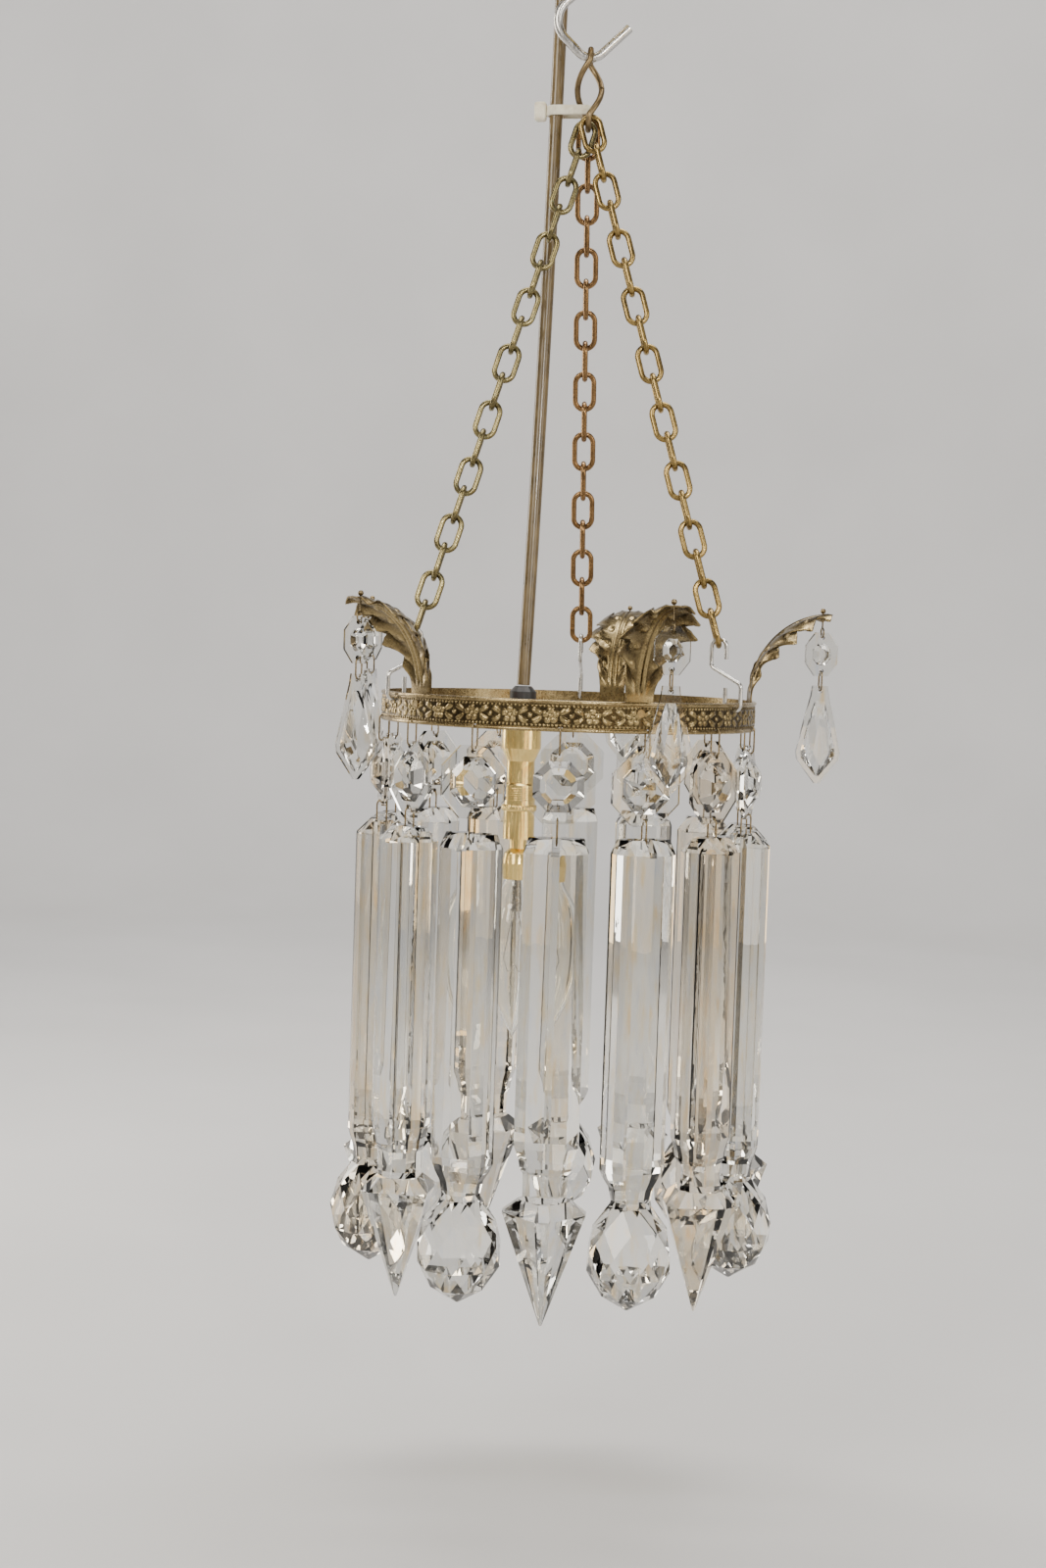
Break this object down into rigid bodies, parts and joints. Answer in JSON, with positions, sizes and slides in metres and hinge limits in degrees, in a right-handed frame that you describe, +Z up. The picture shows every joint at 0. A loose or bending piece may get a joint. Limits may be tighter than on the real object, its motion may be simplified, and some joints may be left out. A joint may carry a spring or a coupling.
{
  "type": "crystal pendant chandelier",
  "caption": "Small hanging chandelier: a brass ring on three chains, strings of cut crystal, acanthus leaves with drops, and a bayonet lampholder with a candle bulb.",
  "frame": {"origin": "centre of the ceiling plate's upper face, where it meets the ceiling", "axes": "+Z up; -Y is the front; +X to the right as seen from the front"},
  "size_m": [0.2744, 0.2782, 0.7267],
  "materials": {
    "old_brass": "antique, worn and patinated",
    "bright_brass": "lacquered",
    "hook_steel": "drawn wire",
    "dark_bronze": "darkened",
    "crystal": "cut and polished",
    "bulb_glass": "clear",
    "white_nylon": "natural",
    "black_plastic": "moulded",
    "gold_flex": "semi-gloss sheath"
  },
  "bodies": {
    "ceiling": {"ceiling_plate": "bright_brass", "ceiling_hook": "hook_steel"},
    "twisted_link": {"top_link": "dark_bronze"},
    "frame": {"chain_left": "old_brass", "chain_right": "old_brass", "chain_back": "old_brass", "end_hooks": "hook_steel", "ring_band": "old_brass", "crossbar": "old_brass", "hanging_pins": "dark_bronze", "acanthus_leaves": "old_brass", "rivets": "old_brass", "cable_gland": "black_plastic", "flex": "gold_flex", "cable_tie": "white_nylon", "lampholder_cap": "bright_brass", "lampholder_body": "bright_brass", "shade_ring": "bright_brass", "contact_block": "black_plastic"},
    "bulb": {"bulb_cap": "bright_brass", "bulb_glass": "bulb_glass", "bulb_filament": "dark_bronze"},
    "octagon_1": {"octagon_1": "crystal"},
    "prism_1": {"prism_1": "crystal"},
    "octagon_2": {"octagon_2": "crystal"},
    "prism_2": {"prism_2": "crystal"},
    "octagon_3": {"octagon_3": "crystal"},
    "prism_3": {"prism_3": "crystal"},
    "octagon_4": {"octagon_4": "crystal"},
    "prism_4": {"prism_4": "crystal"},
    "octagon_5": {"octagon_5": "crystal"},
    "prism_5": {"prism_5": "crystal"},
    "octagon_6": {"octagon_6": "crystal"},
    "prism_6": {"prism_6": "crystal"},
    "octagon_7": {"octagon_7": "crystal"},
    "prism_7": {"prism_7": "crystal"},
    "octagon_8": {"octagon_8": "crystal"},
    "prism_8": {"prism_8": "crystal"},
    "octagon_9": {"octagon_9": "crystal"},
    "prism_9": {"prism_9": "crystal"},
    "octagon_10": {"octagon_10": "crystal"},
    "prism_10": {"prism_10": "crystal"},
    "octagon_11": {"octagon_11": "crystal"},
    "prism_11": {"prism_11": "crystal"},
    "octagon_12": {"octagon_12": "crystal"},
    "prism_12": {"prism_12": "crystal"},
    "octagon_13": {"octagon_13": "crystal"},
    "prism_13": {"prism_13": "crystal"},
    "octagon_14": {"octagon_14": "crystal"},
    "prism_14": {"prism_14": "crystal"},
    "button_1": {"button_1": "crystal"},
    "drop_1": {"drop_1": "crystal"},
    "button_2": {"button_2": "crystal"},
    "drop_2": {"drop_2": "crystal"},
    "button_3": {"button_3": "crystal"},
    "drop_3": {"drop_3": "crystal"},
    "button_4": {"button_4": "crystal"},
    "drop_4": {"drop_4": "crystal"},
    "button_5": {"button_5": "crystal"},
    "drop_5": {"drop_5": "crystal"}
  },
  "joints": [
    {"name": "link_swing", "type": "hinge", "parent": "ceiling", "child": "twisted_link", "pos_m": [0, 0, -0.061], "axis": [1, 0, 0], "range_deg": [-2, 2]},
    {"name": "frame_swing", "type": "hinge", "parent": "twisted_link", "child": "frame", "pos_m": [0, 0, -0.0991], "axis": [0, 1, 0], "range_deg": [-1.5, 1.5]},
    {"name": "bulb_release", "type": "slide", "parent": "frame", "child": "bulb", "axis": [0, 0, -1], "range_m": [0, 0.03]},
    {"name": "octagon_1_swing", "type": "hinge", "parent": "frame", "child": "octagon_1", "pos_m": [-0.00548, -0.10125, -0.4302], "axis": [-0.9985, 0.0541, 0], "range_deg": [-1.5, 15]},
    {"name": "prism_1_swing", "type": "hinge", "parent": "octagon_1", "child": "prism_1", "pos_m": [-0.00548, -0.10125, -0.4761], "axis": [-0.9985, 0.0541, 0], "range_deg": [-1.5, 15]},
    {"name": "octagon_2_swing", "type": "hinge", "parent": "frame", "child": "octagon_2", "pos_m": [0.03899, -0.0936, -0.4302], "axis": [-0.9231, -0.3845, 0], "range_deg": [-1.5, 15]},
    {"name": "prism_2_swing", "type": "hinge", "parent": "octagon_2", "child": "prism_2", "pos_m": [0.03899, -0.0936, -0.4761], "axis": [-0.9231, -0.3845, 0], "range_deg": [-1.5, 15]},
    {"name": "octagon_3_swing", "type": "hinge", "parent": "frame", "child": "octagon_3", "pos_m": [0.07574, -0.06742, -0.4302], "axis": [-0.6649, -0.747, 0], "range_deg": [-1.5, 15]},
    {"name": "prism_3_swing", "type": "hinge", "parent": "octagon_3", "child": "prism_3", "pos_m": [0.07574, -0.06742, -0.4761], "axis": [-0.6649, -0.747, 0], "range_deg": [-1.5, 15]},
    {"name": "octagon_4_swing", "type": "hinge", "parent": "frame", "child": "octagon_4", "pos_m": [0.09749, -0.02788, -0.4302], "axis": [-0.2749, -0.9615, 0], "range_deg": [-1.5, 15]},
    {"name": "prism_4_swing", "type": "hinge", "parent": "octagon_4", "child": "prism_4", "pos_m": [0.09749, -0.02788, -0.4761], "axis": [-0.2749, -0.9615, 0], "range_deg": [-1.5, 15]},
    {"name": "octagon_5_swing", "type": "hinge", "parent": "frame", "child": "octagon_5", "pos_m": [0.09993, 0.01718, -0.4302], "axis": [0.1695, -0.9855, 0], "range_deg": [-1.5, 15]},
    {"name": "prism_5_swing", "type": "hinge", "parent": "octagon_5", "child": "prism_5", "pos_m": [0.09993, 0.01718, -0.4761], "axis": [0.1695, -0.9855, 0], "range_deg": [-1.5, 15]},
    {"name": "octagon_6_swing", "type": "hinge", "parent": "frame", "child": "octagon_6", "pos_m": [0.08258, 0.05884, -0.4302], "axis": [0.5803, -0.8144, 0], "range_deg": [-1.5, 15]},
    {"name": "prism_6_swing", "type": "hinge", "parent": "octagon_6", "child": "prism_6", "pos_m": [0.08258, 0.05884, -0.4761], "axis": [0.5803, -0.8144, 0], "range_deg": [-1.5, 15]},
    {"name": "octagon_7_swing", "type": "hinge", "parent": "frame", "child": "octagon_7", "pos_m": [0.04887, 0.08884, -0.4302], "axis": [0.8762, -0.482, 0], "range_deg": [-1.5, 15]},
    {"name": "prism_7_swing", "type": "hinge", "parent": "octagon_7", "child": "prism_7", "pos_m": [0.04887, 0.08884, -0.4761], "axis": [0.8762, -0.482, 0], "range_deg": [-1.5, 15]},
    {"name": "octagon_8_swing", "type": "hinge", "parent": "frame", "child": "octagon_8", "pos_m": [0.00548, 0.10125, -0.4302], "axis": [0.9985, -0.0541, 0], "range_deg": [-1.5, 15]},
    {"name": "prism_8_swing", "type": "hinge", "parent": "octagon_8", "child": "prism_8", "pos_m": [0.00548, 0.10125, -0.4761], "axis": [0.9985, -0.0541, 0], "range_deg": [-1.5, 15]},
    {"name": "octagon_9_swing", "type": "hinge", "parent": "frame", "child": "octagon_9", "pos_m": [-0.03899, 0.0936, -0.4302], "axis": [0.9231, 0.3845, 0], "range_deg": [-1.5, 15]},
    {"name": "prism_9_swing", "type": "hinge", "parent": "octagon_9", "child": "prism_9", "pos_m": [-0.03899, 0.0936, -0.4761], "axis": [0.9231, 0.3845, 0], "range_deg": [-1.5, 15]},
    {"name": "octagon_10_swing", "type": "hinge", "parent": "frame", "child": "octagon_10", "pos_m": [-0.07574, 0.06742, -0.4302], "axis": [0.6649, 0.747, 0], "range_deg": [-1.5, 15]},
    {"name": "prism_10_swing", "type": "hinge", "parent": "octagon_10", "child": "prism_10", "pos_m": [-0.07574, 0.06742, -0.4761], "axis": [0.6649, 0.747, 0], "range_deg": [-1.5, 15]},
    {"name": "octagon_11_swing", "type": "hinge", "parent": "frame", "child": "octagon_11", "pos_m": [-0.09749, 0.02788, -0.4302], "axis": [0.2749, 0.9615, 0], "range_deg": [-1.5, 15]},
    {"name": "prism_11_swing", "type": "hinge", "parent": "octagon_11", "child": "prism_11", "pos_m": [-0.09749, 0.02788, -0.4761], "axis": [0.2749, 0.9615, 0], "range_deg": [-1.5, 15]},
    {"name": "octagon_12_swing", "type": "hinge", "parent": "frame", "child": "octagon_12", "pos_m": [-0.09993, -0.01718, -0.4302], "axis": [-0.1695, 0.9855, 0], "range_deg": [-1.5, 15]},
    {"name": "prism_12_swing", "type": "hinge", "parent": "octagon_12", "child": "prism_12", "pos_m": [-0.09993, -0.01718, -0.4761], "axis": [-0.1695, 0.9855, 0], "range_deg": [-1.5, 15]},
    {"name": "octagon_13_swing", "type": "hinge", "parent": "frame", "child": "octagon_13", "pos_m": [-0.08258, -0.05884, -0.4302], "axis": [-0.5803, 0.8144, 0], "range_deg": [-1.5, 15]},
    {"name": "prism_13_swing", "type": "hinge", "parent": "octagon_13", "child": "prism_13", "pos_m": [-0.08258, -0.05884, -0.4761], "axis": [-0.5803, 0.8144, 0], "range_deg": [-1.5, 15]},
    {"name": "octagon_14_swing", "type": "hinge", "parent": "frame", "child": "octagon_14", "pos_m": [-0.04887, -0.08884, -0.4302], "axis": [-0.8762, 0.482, 0], "range_deg": [-1.5, 15]},
    {"name": "prism_14_swing", "type": "hinge", "parent": "octagon_14", "child": "prism_14", "pos_m": [-0.04887, -0.08884, -0.4761], "axis": [-0.8762, 0.482, 0], "range_deg": [-1.5, 15]},
    {"name": "button_1_swing", "type": "hinge", "parent": "frame", "child": "button_1", "pos_m": [-0.10938, -0.08545, -0.3662], "axis": [-0.866, 0.5, 0], "range_deg": [-6, 12]},
    {"name": "drop_1_swing", "type": "hinge", "parent": "button_1", "child": "drop_1", "pos_m": [-0.10938, -0.08545, -0.3955], "axis": [-0.866, 0.5, 0], "range_deg": [-6, 12]},
    {"name": "button_2_swing", "type": "hinge", "parent": "frame", "child": "button_2", "pos_m": [0.04747, -0.13043, -0.3662], "axis": [-0.9848, -0.1736, 0], "range_deg": [-6, 12]},
    {"name": "drop_2_swing", "type": "hinge", "parent": "button_2", "child": "drop_2", "pos_m": [0.04747, -0.13043, -0.3955], "axis": [-0.9848, -0.1736, 0], "range_deg": [-6, 12]},
    {"name": "button_3_swing", "type": "hinge", "parent": "frame", "child": "button_3", "pos_m": [0.13872, 0.00484, -0.3662], "axis": [-0.9848, -0.1736, 0], "range_deg": [-6, 12]},
    {"name": "drop_3_swing", "type": "hinge", "parent": "button_3", "child": "drop_3", "pos_m": [0.13872, 0.00484, -0.3955], "axis": [-0.9848, -0.1736, 0], "range_deg": [-6, 12]},
    {"name": "button_4_swing", "type": "hinge", "parent": "frame", "child": "button_4", "pos_m": [0.03826, 0.13342, -0.3662], "axis": [0.9613, -0.2756, 0], "range_deg": [-6, 12]},
    {"name": "drop_4_swing", "type": "hinge", "parent": "button_4", "child": "drop_4", "pos_m": [0.03826, 0.13342, -0.3955], "axis": [0.9613, -0.2756, 0], "range_deg": [-6, 12]},
    {"name": "button_5_swing", "type": "hinge", "parent": "frame", "child": "button_5", "pos_m": [-0.11507, 0.07762, -0.3662], "axis": [0.5592, 0.829, 0], "range_deg": [-6, 12]},
    {"name": "drop_5_swing", "type": "hinge", "parent": "button_5", "child": "drop_5", "pos_m": [-0.11507, 0.07762, -0.3955], "axis": [0.5592, 0.829, 0], "range_deg": [-6, 12]}
  ]
}
